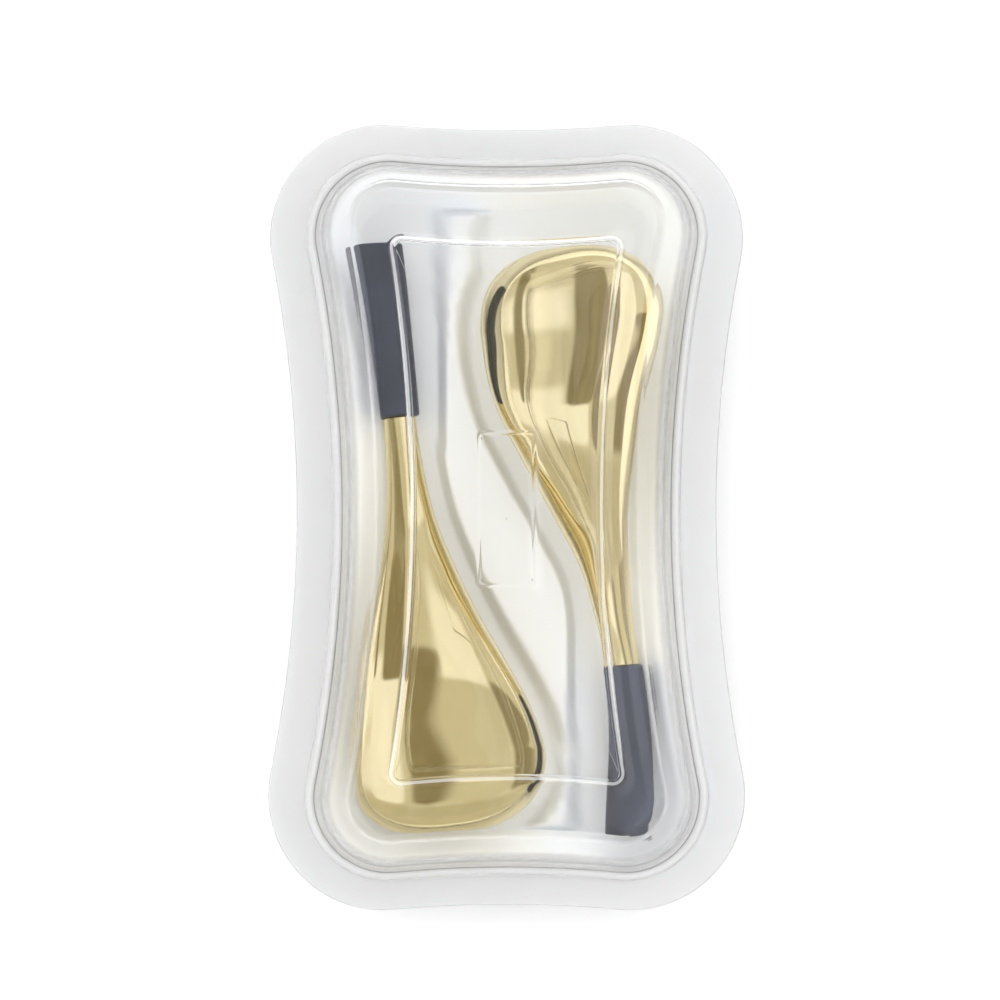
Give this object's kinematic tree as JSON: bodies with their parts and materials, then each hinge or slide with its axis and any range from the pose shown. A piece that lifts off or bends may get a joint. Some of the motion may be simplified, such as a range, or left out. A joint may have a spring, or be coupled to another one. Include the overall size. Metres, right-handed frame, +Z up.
{
  "type": "cased facial cold massage tool pair",
  "caption": "Teardrop cold-massage tools with polished metal heads and rubber grips, lying head to tail in an hourglass plastic case with a clear lift-off lid.",
  "frame": {"origin": "middle of the case's underside, on the surface that the case lies on", "axes": "+Z up out of the lid, +Y along the case towards the left tool's grip end, +X across the case towards the right tool"},
  "size_m": [0.1374, 0.2278, 0.0496],
  "materials": {
    "frosted_plastic": "frosted translucent moulded sheet",
    "clear_plastic": "clear moulded sheet",
    "gold": "mirror-polished pale gold plating",
    "steel": "turned steel",
    "cooling_gel": "soft gel, sealed inside the head",
    "grip_rubber": "satin slate rubber",
    "plug_rubber": "moulded rubber",
    "seal_rubber": "silicone ring"
  },
  "bodies": {
    "tray": {"case_tray": "frosted_plastic"},
    "lid": {"case_lid": "clear_plastic"},
    "left_tool": {"left_face_shell": "gold", "left_back_shell": "gold", "left_coolant": "cooling_gel", "left_fill_plug": "plug_rubber", "left_seal_ring": "seal_rubber", "left_tang": "steel", "left_grip": "grip_rubber", "left_end_plug": "grip_rubber"},
    "right_tool": {"right_face_shell": "gold", "right_back_shell": "gold", "right_coolant": "cooling_gel", "right_fill_plug": "plug_rubber", "right_seal_ring": "seal_rubber", "right_tang": "steel", "right_grip": "grip_rubber", "right_end_plug": "grip_rubber"}
  },
  "joints": [
    {"name": "lid_lift", "type": "slide", "parent": "tray", "child": "lid", "axis": [0, 0, 1], "range_m": [0, 0.09]},
    {"name": "left_tool_lift", "type": "slide", "parent": "tray", "child": "left_tool", "axis": [0, 0, 1], "range_m": [0, 0.045]},
    {"name": "right_tool_lift", "type": "slide", "parent": "tray", "child": "right_tool", "axis": [0, 0, 1], "range_m": [0, 0.045]}
  ],
  "couplings": [
    {"joint": "left_tool_lift", "follows": "lid_lift", "ratio": 0.5},
    {"joint": "right_tool_lift", "follows": "lid_lift", "ratio": 0.5}
  ]
}
